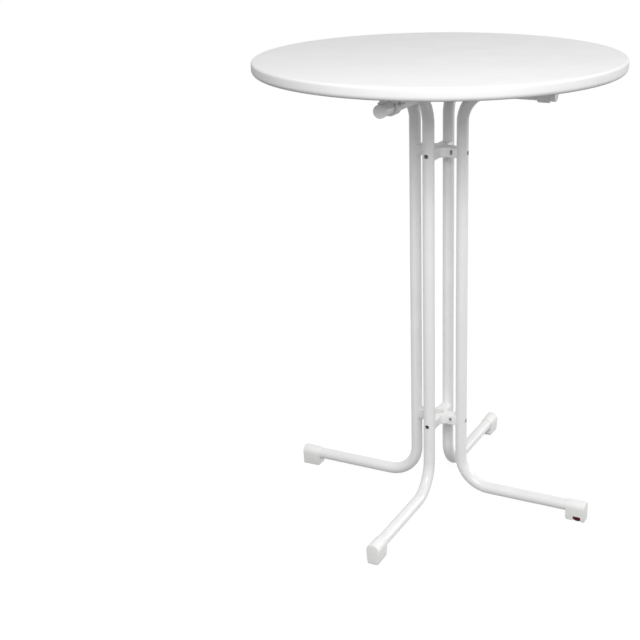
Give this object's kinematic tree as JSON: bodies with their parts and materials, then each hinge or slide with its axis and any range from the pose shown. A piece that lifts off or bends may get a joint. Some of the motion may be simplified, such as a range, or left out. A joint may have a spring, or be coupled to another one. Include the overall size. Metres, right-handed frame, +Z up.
{
  "type": "high cocktail table",
  "caption": "Round standing-height cocktail table: white moulded plate clamped on bent steel tube legs held apart by plastic crosses, with capped feet and a floor leveller.",
  "frame": {"origin": "on the floor, under the middle of the round plate", "axes": "+Z up; +X along the foot that holds the leveller; the other feet lie along +Y, -X and -Y"},
  "size_m": [0.8499, 0.85, 1.1],
  "materials": {
    "plate_laminate": "white resin facing on a moulded wood-fibre plate, fine satin grain",
    "powder_coat": "white powder coat, semi-gloss",
    "white_plastic": "white moulded plastic, satin",
    "zinc_steel": "bright zinc plate",
    "red_plastic": "deep red moulded plastic",
    "dark_plastic": "dark grey moulded glide"
  },
  "bodies": {
    "table": {"table_top": "plate_laminate", "leg_tube_right": "powder_coat", "arm_plug_right": "white_plastic", "clamp_saddle_right": "white_plastic", "clamp_strap_right": "white_plastic", "foot_cap_right": "white_plastic", "leg_tube_back": "powder_coat", "arm_plug_back": "white_plastic", "clamp_saddle_back": "white_plastic", "clamp_strap_back": "white_plastic", "foot_cap_back": "white_plastic", "leg_tube_left": "powder_coat", "arm_plug_left": "white_plastic", "clamp_saddle_left": "white_plastic", "clamp_strap_left": "white_plastic", "foot_cap_left": "white_plastic", "leg_tube_front": "powder_coat", "arm_plug_front": "white_plastic", "clamp_saddle_front": "white_plastic", "clamp_strap_front": "white_plastic", "foot_cap_front": "white_plastic", "upper_cross": "white_plastic", "upper_cross_bolts": "zinc_steel", "upper_cross_nuts": "zinc_steel", "lower_cross": "white_plastic", "lower_cross_bolts": "zinc_steel", "lower_cross_nuts": "zinc_steel", "clamp_screws": "zinc_steel"},
    "level_glide": {"level_pad": "dark_plastic"},
    "level_screw": {"level_wheel": "red_plastic", "level_stud": "zinc_steel"}
  },
  "joints": [
    {"name": "level_travel", "type": "slide", "parent": "table", "child": "level_glide", "axis": [0, 0, -1], "range_m": [0, 0.008]},
    {"name": "level_turn", "type": "hinge", "parent": "level_glide", "child": "level_screw", "pos_m": [0.366, 0, 0], "axis": [0, 0, -1], "range_deg": [0, 2304]}
  ],
  "couplings": [
    {"joint": "level_travel", "follows": "level_turn", "m_per_rad": 0.00019894}
  ]
}
